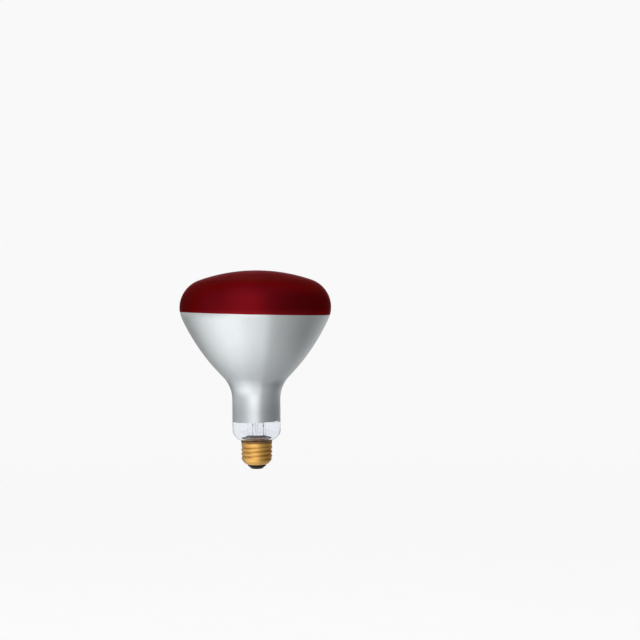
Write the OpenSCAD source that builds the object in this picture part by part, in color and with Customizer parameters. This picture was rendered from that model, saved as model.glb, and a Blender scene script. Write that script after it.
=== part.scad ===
// Red reflector heat lamp, 5 inch bulged-reflector bulb on a medium screw base.
// Origin: centre of the flat land on the bottom contact. +Z: along the lamp, base to face.

/* [Bulb] */
// Largest diameter over the red coat
bulb_d = 127; // [122:0.5:130]
// Length from the bottom contact to the crown of the face
lamp_len = 167; // [163:0.5:171]
// Radius of the domed face
face_r = 142; // [130:1:160]
// Radius of the rounded rim between the face and the side
rim_r = 24.3; // [22:0.1:26]
// Radius of the bulged side, seen from the side
side_r = 172; // [160:1:190]
// Slope of the side where it leaves the rim, from upright
side_angle = 25; // [23:0.5:27]
// Wall of the blown glass
glass_t = 1.1; // [0.8:0.05:1.4]

/* [Neck] */
// Diameter of the straight neck
neck_d = 40.5; // [39:0.5:42]
// Radius of the hollow blend between side and neck
neck_blend_r = 27.6; // [24:0.2:30]
// Radius of the round shoulder above the base
heel_r = 9.2; // [8.6:0.1:9.8]
// Radius of the small hollow between the shoulder and the sealed end
throat_r = 1.2; // [1:0.1:1.4]
// Height where the shoulder turns into that hollow
heel_z = 24.3; // [24.2:0.1:24.8]
// Diameter of the sealed glass end inside the base
neck_end_d = 23.4; // [23:0.1:23.5]
// Height of the sealed glass end
neck_end_z = 21; // [20.9:0.1:21.5]

/* [Coatings] */
// Thickness of the red coat on the face
coat_t = 0.15; // [0.1:0.05:0.2]
// Height of the red coat's lower edge
coat_z = 131; // [129:0.5:133]
// Thickness that stands in for the reflecting film
film_t = 0.15; // [0.1:0.05:0.2]
// Height of the film's upper edge
film_top_z = 132; // [131.2:0.2:134]
// Height of the film's lower edge in the neck
film_low_z = 40.3; // [38:0.1:44]

/* [Stem] */
// Outer diameter of the stem tube
stem_d = 15.4; // [15:0.1:16]
// Wall of the stem tube
stem_t = 1; // [0.8:0.1:1.2]
// Height where the stem tube meets the pinch
pinch_z = 44; // [42:0.5:46]
// Length of the pinch
pinch_len = 9; // [7:0.5:10]
// Thickness of the pinch
pinch_t = 4.4; // [4:0.1:5]
// Distance of the left lead from the axis
lead_left = 3.3; // [3:0.1:3.8]
// Distance of the right lead from the axis
lead_right = 5.7; // [5:0.1:5.8]
// Diameter of the outer lead wires
lead_d = 0.7; // [0.5:0.05:0.8]
// Diameter of the exhaust tube
exhaust_d = 4; // [3.4:0.1:4.2]
// Diameter of the glass rod that holds the supports
rod_d = 2.6; // [2.2:0.1:3]
// Height of the middle of the rod's button
button_z = 76; // [74:0.5:78]

/* [Filament] */
// Height of the filament ring
ring_z = 90; // [86:0.5:94]
// Radius of the filament ring
ring_r = 12; // [11:0.5:13]
// Outer diameter of the coiled wire
coil_d = 1.7; // [1.4:0.1:1.8]
// Angle left open between the two ends of the ring
ring_gap = 60; // [50:1:70]
// Diameter of the inner lead wires
inner_lead_d = 1; // [0.8:0.05:1.1]
// Diameter of the support wires
support_d = 0.45; // [0.35:0.05:0.5]

/* [Base] */
// Diameter over the crests of the screw thread
thread_d = 26.2; // [26.1:0.05:26.3]
// Depth of the thread
thread_depth = 0.85; // [0.7:0.05:0.95]
// Threads per inch
threads_per_inch = 7; // [7:1:7]
// Thickness of the brass
brass_t = 0.3; // [0.25:0.05:0.35]
// Height of the brass rim
brass_top_z = 23.4; // [23.2:0.1:23.5]
// Radius of the bottom contact
contact_r = 4.2; // [4:0.1:4.5]
// Direction of the soldered side lead, from +X
side_lead_angle = 75; // [70:1:80]

/* [Hidden] */
$fn = 96;

// Glass outline: every curve is an arc that runs smoothly into the next.
bulb_r = bulb_d / 2 - coat_t;
neck_r = neck_d / 2;
face_cz = lamp_len - coat_t - face_r;
rim_cr = bulb_r - rim_r;
rim_cz = face_cz + sqrt(pow(face_r - rim_r, 2) - pow(rim_cr, 2));
face_end = atan2(rim_cz - face_cz, rim_cr);
side_cr = rim_cr - (side_r - rim_r) * cos(side_angle);
side_cz = rim_cz + (side_r - rim_r) * sin(side_angle);
side_end = acos((neck_r + neck_blend_r - side_cr) / (side_r + neck_blend_r));
blend_cr = neck_r + neck_blend_r;
blend_cz = side_cz - (side_r + neck_blend_r) * sin(side_end);
neck_end_r = neck_end_d / 2;
heel_cr = neck_r - heel_r;
heel_end = acos((neck_end_r + throat_r - heel_cr) / (heel_r + throat_r));
heel_cz = heel_z + heel_r * sin(heel_end);
throat_cr = neck_end_r + throat_r;
throat_cz = heel_cz - (heel_r + throat_r) * sin(heel_end);
arc_step = 3;

// Height of a coat or film edge on the outline, as an angle of the rim or of the neck.
coat_edge = asin((coat_z - rim_cz) / rim_r);
film_edge = asin((film_top_z - rim_cz) / rim_r);

// Base outline, from the lip that holds the insulator up to the rim.
pitch = 25.4 / threads_per_inch;
mean_r = (thread_d - thread_depth) / 2;
band_r = 12.95;
rim_out_r = band_r + 0.3;
lip_r = 8.1;
lip_z = 3.95;
thread_low_z = 8;
thread_high_z = 20;
thread_fade = 1.6;
band_low_z = 21.2;
contact_z = 0.2;
insulator_z = 0.5;
insulator_top_z = 8.6;
hole_r = 1.1;
land_r = 1.6;

// Stem heights and the way the leads run.
flare_r = neck_end_r - glass_t;
stem_r = stem_d / 2;
pinch_top_z = pinch_z + pinch_len;
side_lead_d = 0.4;
lead_low_z = neck_end_z - 0.6;
fuse_top_z = 36;
fuse_low_z = 29;
fuse_d = 0.35;
weld_z = 36.2;
exhaust_low_z = 14;
left_end = 270 - ring_gap / 2;
right_end = 270 + ring_gap / 2;
post_r = neck_end_r + 0.35;
side_post = post_r * [cos(side_lead_angle), sin(side_lead_angle)];
side_reach = side_post - [lead_right, 0];
side_run = norm(side_reach);
side_over_z = brass_top_z + side_lead_d / 2;

glass_clear = [0.86, 0.9, 0.92, 0.35];
nickel = [0.72, 0.71, 0.68];

function arc(cr, cz, r, from, to) =
  let (n = max(2, ceil(abs(to - from) / arc_step)))
  [for (i = [0:n]) let (a = from + (to - from) * i / n) [cr + r * cos(a), cz + r * sin(a)]];

// The outline moved inwards by inset, from the crown to the top of the straight neck.
function face_arc(inset) = arc(0, face_cz, face_r - inset, 90, face_end);
function rim_arc(inset, from, to) = arc(rim_cr, rim_cz, rim_r - inset, from, to);
function side_arc(inset) = arc(side_cr, side_cz, side_r - inset, -side_angle, -side_end);
function blend_arc(inset) = arc(blend_cr, blend_cz, neck_blend_r + inset, 180 - side_end, 180);
function heel_arc(inset) = arc(heel_cr, heel_cz, heel_r - inset, 0, -heel_end);
function throat_arc(inset) = arc(throat_cr, throat_cz, throat_r + inset, 180 - heel_end, 180);
function reversed(list) = [for (i = [len(list) - 1:-1:0]) list[i]];

function bowl_line(inset) = concat(
  face_arc(inset), rim_arc(inset, face_end, -side_angle), side_arc(inset)
);
function neck_line(inset) = concat(
  [[neck_r - inset, blend_cz]], heel_arc(inset), throat_arc(inset), [[neck_end_r - inset, neck_end_z]]
);

// A wall of revolution between an outer line and the same line further in.
module wall(outer, inner) {
  rotate_extrude() polygon(concat(outer, reversed(inner)));
}

// A tube along a bent line in the XZ plane, with its corners rounded.
function unit(v) = v / norm(v);
function corner(a, b, c, r) =
  let (p = b + unit(a - b) * r, q = b + unit(c - b) * r)
  [for (i = [0:4]) let (t = i / 4) (1 - t) * (1 - t) * p + 2 * t * (1 - t) * b + t * t * q];
function rounded(path, r) = concat(
  [path[0]],
  [for (i = [1:1:len(path) - 2]) for (p = corner(path[i - 1], path[i], path[i + 1], r)) p],
  [path[len(path) - 1]]
);
function heading(path, i) =
  unit(path[min(i + 1, len(path) - 1)] - path[max(i - 1, 0)]);

module bent_wire(path, d, bend = 1, sides = 10) {
  line = rounded(path, bend);
  rings = len(line);
  points = [for (i = [0:rings - 1]) for (k = [0:sides - 1])
    let (t = heading(line, i), a = 360 * k / sides, u = d / 2 * cos(a), v = d / 2 * sin(a))
    [line[i][0] - t[1] * u, v, line[i][1] + t[0] * u]];
  skin = [for (i = [0:rings - 2]) for (k = [0:sides - 1])
    let (a = i * sides + k, b = i * sides + (k + 1) % sides)
    [a, b, b + sides, a + sides]];
  start = [for (k = [sides - 1:-1:0]) k];
  end = [for (k = [0:sides - 1]) (rings - 1) * sides + k];
  polyhedron(points, concat([start], skin, [end]), convexity = 6);
}

// The blown glass is one piece. It's drawn as three parts end to end, so that each has a simple outside.
module glass_bowl() {
  color(glass_clear) wall(bowl_line(0), bowl_line(glass_t));
}

module glass_shoulder() {
  color(glass_clear) wall(blend_arc(0), blend_arc(glass_t));
}

module glass_neck() {
  color(glass_clear) wall(neck_line(0), neck_line(glass_t));
}

function coat_line(inset) = concat(face_arc(inset), rim_arc(inset, face_end, coat_edge));

module red_face_coat() {
  color([0.45, 0.01, 0.05]) wall(coat_line(-coat_t), coat_line(0));
}

function film_line(inset) = concat(
  rim_arc(inset, film_edge, -side_angle), side_arc(inset), blend_arc(inset),
  [[neck_r - inset, film_low_z]]
);

module reflector_film() {
  color([0.78, 0.79, 0.8]) wall(film_line(glass_t), film_line(glass_t + film_t));
}

// The flare is fused to the neck's end; its tube rises to the pinch.
function flare_line(inset) = [
  [flare_r - inset, neck_end_z], [flare_r - inset, neck_end_z + 1.4],
  [flare_r - 0.05 - inset, neck_end_z + 4], [flare_r - 0.4 - inset, neck_end_z + 5.1],
  [flare_r - 1.3 - inset, neck_end_z + 6], [stem_r + 0.7 - inset, neck_end_z + 7],
  [stem_r + 0.2 - inset, neck_end_z + 9], [stem_r - inset, neck_end_z + 12],
  [stem_r - inset, pinch_z]
];

module stem_flare() {
  color(glass_clear) wall(flare_line(0), flare_line(stem_t));
}

module stem_pinch() {
  half = stem_r - pinch_t / 2;
  color(glass_clear)
    difference() {
      translate([0, 0, pinch_z]) {
        cylinder(r = stem_r, h = 1);
        translate([-half, -pinch_t / 2, 0.5]) cube([2 * half, pinch_t, pinch_len - 0.5]);
        for (x = [-half, half]) translate([x, 0, 0.5]) cylinder(d = pinch_t, h = pinch_len - 0.5);
      }
      for (x = [-lead_left, lead_right])
        translate([x, 0, pinch_z - 1]) cylinder(d = lead_d, h = pinch_len + 2);
      translate([0, 0, pinch_z - 1]) cylinder(d = exhaust_d - 2, h = 5);
      translate([0, 0, pinch_z + 3]) rotate([90, 0, 0]) cylinder(d = exhaust_d - 2.2, h = stem_r);
    }
}

module exhaust_tube() {
  tip = exhaust_d / 2;
  color(glass_clear)
    rotate_extrude()
      polygon([
        [tip - 1, pinch_z], [tip, pinch_z], [tip, exhaust_low_z + 2], [tip - 0.5, exhaust_low_z + 0.7],
        [0, exhaust_low_z], [0, exhaust_low_z + 1.6], [tip - 1, exhaust_low_z + 3]
      ]);
}

module support_rod() {
  color(glass_clear)
    translate([0, 0, pinch_top_z]) {
      cylinder(d = rod_d, h = button_z - pinch_top_z);
      difference() {
        translate([0, 0, button_z - pinch_top_z]) sphere(d = 6);
        for (i = [1:5]) rotate(support_angle(i))
          translate([1.5, 0, button_z - pinch_top_z]) rotate([0, 90, 0])
            cylinder(d = support_d, h = 3);
      }
    }
}

module seal_wire(x) {
  color([0.62, 0.36, 0.24])
    translate([x, 0, pinch_z]) cylinder(d = lead_d, h = pinch_len);
}

// Each inner lead leans from the pinch to one end of the ring, where it's folded round the coil.
module inner_lead(x, end_angle) {
  tip = ring_r * [cos(end_angle), sin(end_angle)];
  reach = tip - [x, 0];
  run = norm(reach);
  color(nickel) {
    translate([x, 0, 0]) rotate(atan2(reach[1], reach[0]))
      bent_wire(
        [[0, pinch_top_z], [0, pinch_top_z + 5], [run, ring_z - 16], [run, ring_z - coil_d / 2 - 0.3]],
        inner_lead_d, 2
      );
    translate([tip[0], tip[1], ring_z]) rotate(end_angle) rotate([90, 0, 0])
      difference() {
        cylinder(d = coil_d + 1, h = 2.6, center = true);
        cylinder(d = coil_d, h = 4, center = true);
      }
  }
}

function support_angle(i) = right_end + (360 - ring_gap) * i / 6;

// A molybdenum wire from the button, ending in a loop round the coil.
module support_wire(i) {
  loop_r = coil_d / 2 + 0.15 + support_d / 2;
  color([0.55, 0.55, 0.57])
    rotate(support_angle(i)) {
      bent_wire(
        [[1.5, button_z], [5, button_z], [ring_r, ring_z - 7], [ring_r, ring_z - loop_r]],
        support_d, 1.5, 8
      );
      translate([ring_r, 0, ring_z]) rotate([90, 0, 0])
        rotate_extrude() translate([loop_r, 0]) circle(d = support_d, $fn = 24);
    }
}

module filament_coil() {
  color([0.35, 0.35, 0.37])
    translate([0, 0, ring_z]) rotate(right_end - 4)
      rotate_extrude(angle = 368 - ring_gap) translate([ring_r, 0]) circle(d = coil_d);
}

module outer_lead_centre_upper() {
  color(nickel)
    translate([-lead_left, 0, fuse_top_z]) cylinder(d = lead_d, h = pinch_z - fuse_top_z);
}

module lead_fuse() {
  color([0.6, 0.58, 0.52])
    translate([-lead_left, 0, fuse_low_z]) cylinder(d = fuse_d, h = fuse_top_z - fuse_low_z);
}

module outer_lead_centre_lower() {
  color(nickel)
    bent_wire(
      [[-lead_left, fuse_low_z], [-lead_left, 13], [0, 9.6], [0, contact_z + 0.5]],
      lead_d, 1
    );
}

// The side lead drops out of the flare, folds up beside the glass and over the brass rim.
module outer_lead_side() {
  color(nickel) {
    toward_side()
      bent_wire(
        [[0, pinch_z], [0, lead_low_z], [side_run, lead_low_z],
         [side_run, side_over_z], [side_run + 1.9, side_over_z]],
        side_lead_d, 0.35
      );
    translate([lead_right, 0, weld_z]) cylinder(d = lead_d, h = pinch_z - weld_z);
    translate([lead_right, 0, weld_z]) sphere(d = lead_d + 0.5);
  }
}

// Swings its children from the side lead's upright towards the place where it's soldered.
module toward_side() {
  translate([lead_right, 0, 0]) rotate(atan2(side_reach[1], side_reach[0])) children();
}

// Rows of the screw shell: [radius, height, share of the thread's wave].
function wave_share(z) =
  min(1, max(0, (z - thread_low_z) / thread_fade)) *
  min(1, max(0, (thread_high_z - z) / thread_fade));
shell_rows = concat(
  [[lip_r, lip_z, 0], [lip_r + 0.8, lip_z + 0.2, 0], [10.5, 5.35, 0], [11.9, 6.9, 0], [12.5, 8, 0]],
  [for (i = [1:32]) let (z = thread_low_z + (thread_high_z - thread_low_z) * i / 32)
    [mean_r, z, wave_share(z)]],
  [[mean_r + 0.05, band_low_z - 0.5, 0], [band_r, band_low_z, 0], [band_r, brass_top_z - 0.7, 0],
   [band_r + 0.2, brass_top_z - 0.2, 0], [rim_out_r, brass_top_z, 0]]
);
shell_columns = 56;

function shell_point(row, column, inset) =
  let (
    a = 360 * column / shell_columns,
    wave = cos(360 * row[1] / pitch - a) * row[2] * thread_depth / 2,
    r = row[0] + wave - inset
  )
  [r * cos(a), r * sin(a), row[1]];

module screw_shell() {
  rows = len(shell_rows);
  n = shell_columns;
  skins = rows * n;
  points = concat(
    [for (row = shell_rows) for (k = [0:n - 1]) shell_point(row, k, 0)],
    [for (row = shell_rows) for (k = [0:n - 1]) shell_point(row, k, brass_t)]
  );
  outside = [for (i = [0:rows - 2]) for (k = [0:n - 1])
    let (a = i * n + k, b = i * n + (k + 1) % n) each [[a, a + n, b + n], [a, b + n, b]]];
  inside = [for (i = [0:rows - 2]) for (k = [0:n - 1])
    let (a = skins + i * n + k, b = skins + i * n + (k + 1) % n) each [[a, b, b + n], [a, b + n, a + n]]];
  edges = [for (e = [0, rows - 1]) for (k = [0:n - 1])
    let (a = e * n + k, b = e * n + (k + 1) % n)
    each e == 0 ? [[a, b, b + skins], [a, b + skins, a + skins]]
                : [[a, a + skins, b + skins], [a, b + skins, b]]];
  color([0.8, 0.58, 0.26]) polyhedron(points, concat(outside, inside, edges), convexity = 8);
}

module base_insulator() {
  color([0.03, 0.03, 0.035])
    rotate_extrude()
      polygon([
        [hole_r, insulator_z], [contact_r + 0.8, insulator_z], [5.7, 1.3], [7.75, 2.9], [7.75, 3.95],
        [8.5, 4.35], [9.9, 5.45], [11.2, 7.1], [11.2, insulator_top_z - 1], [hole_r, insulator_top_z]
      ]);
}

module centre_contact() {
  color([0.75, 0.6, 0.36])
    rotate_extrude()
      polygon([
        [hole_r, contact_z], [contact_r - 0.4, contact_z], [contact_r, insulator_z], [hole_r, insulator_z]
      ]);
}

module centre_solder() {
  color([0.7, 0.71, 0.72])
    difference() {
      rotate_extrude()
        polygon([
          [0, 0], [land_r, 0], [2.2, 0.12], [2.6, contact_z], [hole_r, contact_z], [hole_r, 1.8], [0, 1.8]
        ]);
      translate([0, 0, contact_z + 0.5]) cylinder(d = lead_d, h = 3);
    }
}

// A blob on the rim, outside the brass and under the glass shoulder.
module side_solder() {
  color([0.7, 0.71, 0.72])
    difference() {
      toward_side() translate([side_run + 1.2, 0, brass_top_z - 0.2]) sphere(d = 2.6);
      cylinder(r = rim_out_r, h = brass_top_z);
      translate([0, 0, brass_top_z - 1]) cylinder(r = rim_out_r - 0.7, h = 3);
      translate([0, 0, heel_z - 0.2]) cylinder(r = neck_r, h = 3);
      toward_side() translate([0, 0, side_over_z]) rotate([0, 90, 0])
        cylinder(d = side_lead_d, h = side_run + 1.9);
    }
}

// Basing cement between the glass end and the brass. What was squeezed out sits on the rim, under
// the glass. It has a way through for the side lead, and a gap where that lead is soldered.
module base_cement() {
  inner = neck_end_r + 0.03;
  color([0.34, 0.28, 0.24])
    difference() {
      rotate_extrude()
        polygon([
          [inner, neck_end_z], [mean_r - brass_t - 0.1, neck_end_z],
          [band_r - brass_t - 0.05, band_low_z + 0.3], [band_r - brass_t - 0.05, brass_top_z - 0.3],
          [band_r - 0.15, brass_top_z + 0.05], [band_r + 0.1, brass_top_z + 0.1],
          [band_r + 0.1, brass_top_z + 0.5], [band_r - 0.2, brass_top_z + 0.75],
          [inner + 0.65, brass_top_z + 0.65], [inner + 0.25, brass_top_z + 0.35],
          [inner + 0.05, brass_top_z], [inner, brass_top_z - 0.3]
        ]);
      translate([side_post[0], side_post[1], lead_low_z]) cylinder(d = side_lead_d + 0.1, h = 8);
      toward_side() translate([side_run - 1.2, -1.8, brass_top_z - 0.3]) cube([4, 3.6, 2]);
    }
}

glass_bowl();
glass_shoulder();
glass_neck();
red_face_coat();
reflector_film();
stem_flare();
stem_pinch();
exhaust_tube();
support_rod();
seal_wire(-lead_left);  // seal_wire_left
seal_wire(lead_right);  // seal_wire_right
inner_lead(-lead_left, left_end);  // inner_lead_left
inner_lead(lead_right, right_end);  // inner_lead_right
support_wire(1);  // support_wire_1
support_wire(2);  // support_wire_2
support_wire(3);  // support_wire_3
support_wire(4);  // support_wire_4
support_wire(5);  // support_wire_5
filament_coil();
outer_lead_centre_upper();
lead_fuse();
outer_lead_centre_lower();
outer_lead_side();
screw_shell();
base_insulator();
centre_contact();
centre_solder();
side_solder();
base_cement();
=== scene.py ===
# %% [markdown]
# # A red reflector heat lamp
#
# This lamp keeps chicks and young animals warm. It is one blown glass bulb with a domed face, stained
# red on the outside of the face and silvered on the inside of the side. Its lower neck is left clear,
# so the stem and its lead wires show there. A brass screw base carries it in a lampholder.
#
# The sizes and the places of all pieces were settled in a CAD model, which this script loads as a
# fixed frame. Blender then makes each piece again with smooth meshes and real finishes, and stands the
# new piece in for the plain CAD one. Nothing is moved: every new mesh lies where its CAD solid lay.

# %% Load the frame
import math

import bpy
from mathutils import Matrix, Vector, noise


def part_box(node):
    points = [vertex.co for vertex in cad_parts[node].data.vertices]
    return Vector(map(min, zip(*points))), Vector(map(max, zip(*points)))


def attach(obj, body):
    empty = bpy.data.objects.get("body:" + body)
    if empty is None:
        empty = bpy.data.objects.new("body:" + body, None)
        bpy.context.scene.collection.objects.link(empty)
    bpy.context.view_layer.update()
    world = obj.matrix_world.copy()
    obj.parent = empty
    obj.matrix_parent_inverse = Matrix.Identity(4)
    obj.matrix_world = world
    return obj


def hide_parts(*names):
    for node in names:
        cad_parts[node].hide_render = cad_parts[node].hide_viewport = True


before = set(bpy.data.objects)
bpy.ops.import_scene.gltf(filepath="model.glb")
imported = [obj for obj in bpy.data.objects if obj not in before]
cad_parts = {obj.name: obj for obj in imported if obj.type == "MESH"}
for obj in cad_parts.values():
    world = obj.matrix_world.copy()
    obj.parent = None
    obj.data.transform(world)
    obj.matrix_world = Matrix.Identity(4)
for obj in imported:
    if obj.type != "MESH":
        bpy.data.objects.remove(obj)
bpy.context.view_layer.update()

# %% [markdown]
# ## Sizes
#
# Blender works in metres, but a lamp maker's drawing is in millimetres, so the sizes here are in
# millimetres and each mesh is brought to metres when it is made. What can be read off the frame is
# read off it. The radii of the arcs can't be measured on a box, so they are given here, and they are
# the same ones that the CAD model has.

# %% Main sizes
MM = 0.001


def low(node, axis):
    """The lowest coordinate of a CAD node along an axis, in millimetres."""
    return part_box(node)[0][axis] / MM


def high(node, axis):
    """The highest coordinate of a CAD node along an axis, in millimetres."""
    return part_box(node)[1][axis] / MM


X, Y, Z = 0, 1, 2
glass_wall = 1.1
coat_thickness = 0.15
film_thickness = 0.15
bulb_radius = high("red_face_coat", X) - coat_thickness
crown_height = high("red_face_coat", Z) - coat_thickness
coat_edge_height = low("red_face_coat", Z)
film_top_height = high("reflector_film", Z) + 2
film_edge_height = low("reflector_film", Z)
neck_radius = 20.25
face_radius = 142.0
rim_radius = 24.3
side_radius = 172.0
side_angle = math.radians(25)
blend_radius = 27.6
heel_radius = 9.2
heel_height = 24.3
throat_radius = 1.2
seal_radius = 11.7
seal_height = low("glass_neck", Z)
print(f"bulb {2 * bulb_radius:.1f} mm across, crown at {crown_height:.1f} mm, red edge at {coat_edge_height:.1f} mm")

# %% [markdown]
# ## The outline of the bulb
#
# A blown bulb takes the shape of its mould, and a mould is drawn with compasses: each arc runs into
# the next without a corner. The outline could be traced as a list of points, but then it would have
# flats and bumps. Here it is worked out as tangent arcs, so it is smooth at any resolution, and the
# same functions give the inner wall, the red coat and the silver film by moving the outline inwards.

# %% Arcs that touch
rim_centre_r = bulb_radius - rim_radius
face_centre_z = crown_height - face_radius
rim_centre_z = face_centre_z + math.sqrt((face_radius - rim_radius) ** 2 - rim_centre_r**2)
face_end = math.atan2(rim_centre_z - face_centre_z, rim_centre_r)
side_centre_r = rim_centre_r - (side_radius - rim_radius) * math.cos(side_angle)
side_centre_z = rim_centre_z + (side_radius - rim_radius) * math.sin(side_angle)
side_end = math.acos((neck_radius + blend_radius - side_centre_r) / (side_radius + blend_radius))
blend_centre_r = neck_radius + blend_radius
blend_centre_z = side_centre_z - (side_radius + blend_radius) * math.sin(side_end)
heel_centre_r = neck_radius - heel_radius
heel_end = math.acos((seal_radius + throat_radius - heel_centre_r) / (heel_radius + throat_radius))
heel_centre_z = heel_height + heel_radius * math.sin(heel_end)
throat_centre_r = seal_radius + throat_radius
throat_centre_z = heel_centre_z - (heel_radius + throat_radius) * math.sin(heel_end)


def arc(centre_r, centre_z, radius, start, stop, spacing=0.9):
    """Points (radius from the axis, height) along an arc, about spacing millimetres apart."""
    steps = max(4, math.ceil(abs(stop - start) * radius / spacing))
    angles = [start + (stop - start) * i / steps for i in range(steps + 1)]
    return [(centre_r + radius * math.cos(a), centre_z + radius * math.sin(a)) for a in angles]


def face_arc(inset):
    return arc(0, face_centre_z, face_radius - inset, math.pi / 2, face_end, 1.6)


def rim_arc(inset, start, stop):
    return arc(rim_centre_r, rim_centre_z, rim_radius - inset, start, stop, 0.8)


def side_arc(inset):
    return arc(side_centre_r, side_centre_z, side_radius - inset, -side_angle, -side_end, 1.6)


def blend_arc(inset):
    return arc(blend_centre_r, blend_centre_z, blend_radius + inset, math.pi - side_end, math.pi)


def heel_arc(inset):
    return arc(heel_centre_r, heel_centre_z, heel_radius - inset, 0, -heel_end, 0.4)


def throat_arc(inset):
    return arc(throat_centre_r, throat_centre_z, throat_radius + inset, math.pi - heel_end, math.pi, 0.2)


def straight(start, stop, spacing=1.2):
    """Points along a straight stretch, both ends included."""
    steps = max(1, math.ceil(math.dist(start, stop) / spacing))
    return [tuple(a + (b - a) * i / steps for a, b in zip(start, stop)) for i in range(steps + 1)]


print(f"the face meets the rim at {math.degrees(face_end):.1f} degrees, the blend ends at z {blend_centre_z:.1f} mm")

# %% [markdown]
# ## Spinning an outline
#
# Most of this lamp is turned or blown, so most meshes are an outline spun about the axis. Blender's
# Spin tool and Screw modifier do this too, but they leave doubled vertices at the seam and the poles.
# Building the rings directly closes both: the last column joins the first, and a point on the axis
# becomes one vertex. A small shift can be given for each vertex, because nothing blown, poured or
# soldered is perfectly round.

# %% The spinner


def join_points(name, points, faces, finish, sharp=35):
    """A mesh object from points in millimetres and faces, with its flats smoothed below an angle."""
    mesh = bpy.data.meshes.new(name)
    mesh.from_pydata([Vector(p) * MM for p in points], [], faces)
    mesh.validate()
    mesh.shade_smooth()
    mesh.set_sharp_from_angle(angle=math.radians(sharp))
    piece = bpy.data.objects.new(name, mesh)
    bpy.context.scene.collection.objects.link(piece)
    for one in finish if isinstance(finish, list) else [finish]:
        mesh.materials.append(one)
    return piece


def ring_faces(outline, columns, shift, points):
    """Adds the points of a spun outline to a list and returns the faces between them."""
    rings, faces = [], []
    for r, z in outline:
        if abs(r) < 1e-6:
            rings.append([len(points)] * columns)
            points.append((0, 0, z))
            continue
        rings.append(list(range(len(points), len(points) + columns)))
        for k in range(columns):
            turn = 2 * math.pi * k / columns
            dr, dz = shift(turn, r, z) if shift else (0, 0)
            points.append(((r + dr) * math.cos(turn), (r + dr) * math.sin(turn), z + dz))
    for upper, lower in zip(rings, rings[1:] + rings[:1]):
        for k in range(columns):
            corners = [upper[k], lower[k], lower[(k + 1) % columns], upper[(k + 1) % columns]]
            face = list(dict.fromkeys(corners))
            if len(face) > 2:
                faces.append(face)
    return faces


def spin(name, outlines, finish, columns=160, shift=None, sharp=35):
    """Spins one or more closed outlines of (radius, height) points. Each has its solid on its right."""
    outlines = outlines if isinstance(outlines[0], list) else [outlines]
    points, faces = [], []
    for outline in outlines:
        faces += ring_faces(outline, columns, shift, points)
    return join_points(name, points, faces, finish, sharp)


def wavy(turn, z, size, seed=0.0):
    """Smooth noise from -1 to 1 around the axis. A larger size gives longer waves, in millimetres."""
    where = Vector((math.cos(turn) * 20 / size, math.sin(turn) * 20 / size, z / size + seed))
    return noise.noise(where)


# %% [markdown]
# ## A bench for nodes
#
# Finishes and Geometry Nodes are both trees of nodes. Placing them one by one makes a long script that
# is hard to read, so one method adds a node with its settings and its sockets. A small class stands
# for a socket that carries a number: adding or multiplying two of them adds the Math node, so shader
# sums are written like any sum in Python.

# %% Numbers that write their own nodes


class Number:
    """A socket that carries a number. Operators on it add Math nodes to its tree."""

    def __init__(self, bench, socket):
        self.bench = bench
        self.socket = socket

    def maths(self, operation, first, *others):
        made = self.bench.node("ShaderNodeMath", {"operation": operation}, dict(enumerate([first, *others])))
        return Number(self.bench, made.outputs[0])

    def __add__(self, other):
        return self.maths("ADD", self, other)

    def __radd__(self, other):
        return self.maths("ADD", other, self)

    def __sub__(self, other):
        return self.maths("SUBTRACT", self, other)

    def __rsub__(self, other):
        return self.maths("SUBTRACT", other, self)

    def __mul__(self, other):
        return self.maths("MULTIPLY", self, other)

    def __rmul__(self, other):
        return self.maths("MULTIPLY", other, self)

    def __truediv__(self, other):
        return self.maths("DIVIDE", self, other)

    def __pow__(self, other):
        return self.maths("POWER", self, other)

    def cos(self):
        return self.maths("COSINE", self)

    def sin(self):
        return self.maths("SINE", self)

    def most(self, other):
        return self.maths("MAXIMUM", self, other)

    def rise(self, start, stop):
        """0 below start, 1 above stop and a smooth slope between them. With start above stop it falls."""
        ends = {"Value": self, "From Min": start, "From Max": stop, "To Min": 0.0, "To Max": 1.0}
        if start > stop:
            ends.update({"From Min": stop, "From Max": start, "To Min": 1.0, "To Max": 0.0})
        made = self.bench.node("ShaderNodeMapRange", {"interpolation_type": "SMOOTHSTEP"}, ends)
        return Number(self.bench, made.outputs[0])


class Bench:
    """A node tree with one method that adds any node."""

    def __init__(self, tree):
        self.tree = tree

    def node(self, kind, settings=None, sockets=None):
        made = self.tree.nodes.new(kind)
        for key, value in (settings or {}).items():
            setattr(made, key, value)
        for key, value in (sockets or {}).items():
            value = value.socket if isinstance(value, Number) else value
            if isinstance(value, bpy.types.NodeSocket):
                self.tree.links.new(value, made.inputs[key])
            else:
                made.inputs[key].default_value = value
        return made

    def number(self, socket):
        return Number(self, socket)


# %% [markdown]
# ## Finishes
#
# Each finish is a small tree that reads Object coordinates, so a pattern has its real size and stays
# on the piece. A few helpers give what most finishes need: noise of a given size in millimetres, a
# mix of two colours, and a bump.

# %% Helpers for finishes


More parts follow.
